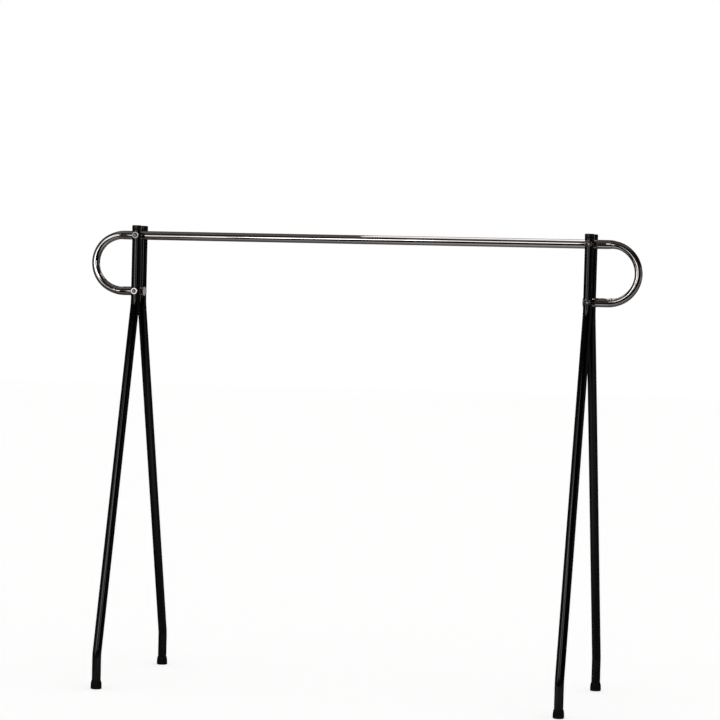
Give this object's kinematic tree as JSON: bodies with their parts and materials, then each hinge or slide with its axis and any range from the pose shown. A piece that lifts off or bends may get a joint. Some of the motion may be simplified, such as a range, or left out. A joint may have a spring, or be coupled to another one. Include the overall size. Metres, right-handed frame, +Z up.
{
  "type": "garment rail",
  "caption": "Free-standing straight garment rail: a chrome tube with looped ends, bolted between splayed black tubular legs on rubber feet.",
  "frame": {"origin": "on the floor, under the middle of the hanging rail", "axes": "+X along the hanging rail, +Y from the bolt heads' side to the nuts' side, +Z up"},
  "size_m": [1.8182, 0.7094, 1.48],
  "materials": {
    "chrome_tube": "bright chrome plate on drawn steel tube",
    "black_tube": "gloss black powder coat on steel tube",
    "black_plastic": "satin moulded polyethylene",
    "black_rubber": "matt moulded rubber",
    "grey_plastic": "satin moulded polyethylene",
    "bright_steel": "bright nickel-chrome plate on steel fasteners"
  },
  "bodies": {
    "root": {"rail_tube": "chrome_tube", "rail_end_plug_left": "grey_plastic", "rail_end_plug_right": "grey_plastic", "leg_front_left": "black_tube", "leg_rear_left": "black_tube", "leg_front_right": "black_tube", "leg_rear_right": "black_tube", "leg_cap_front_left": "black_plastic", "leg_cap_rear_left": "black_plastic", "leg_cap_front_right": "black_plastic", "leg_cap_rear_right": "black_plastic", "foot_front_left": "black_rubber", "foot_rear_left": "black_rubber", "foot_front_right": "black_rubber", "foot_rear_right": "black_rubber", "saddle_front_upper_left": "black_plastic", "saddle_rear_upper_left": "black_plastic", "saddle_front_lower_left": "black_plastic", "saddle_rear_lower_left": "black_plastic", "saddle_front_upper_right": "black_plastic", "saddle_rear_upper_right": "black_plastic", "saddle_front_lower_right": "black_plastic", "saddle_rear_lower_right": "black_plastic", "clamp_bolt_upper_left": "bright_steel", "clamp_bolt_lower_left": "bright_steel", "clamp_bolt_upper_right": "bright_steel", "clamp_bolt_lower_right": "bright_steel", "head_washer_upper_left": "bright_steel", "head_washer_lower_left": "bright_steel", "head_washer_upper_right": "bright_steel", "head_washer_lower_right": "bright_steel", "nut_washer_upper_left": "bright_steel", "nut_washer_lower_left": "bright_steel", "nut_washer_upper_right": "bright_steel", "nut_washer_lower_right": "bright_steel", "cap_nut_upper_left": "bright_steel", "cap_nut_lower_left": "bright_steel", "cap_nut_upper_right": "bright_steel", "cap_nut_lower_right": "bright_steel"}
  },
  "joints": []
}
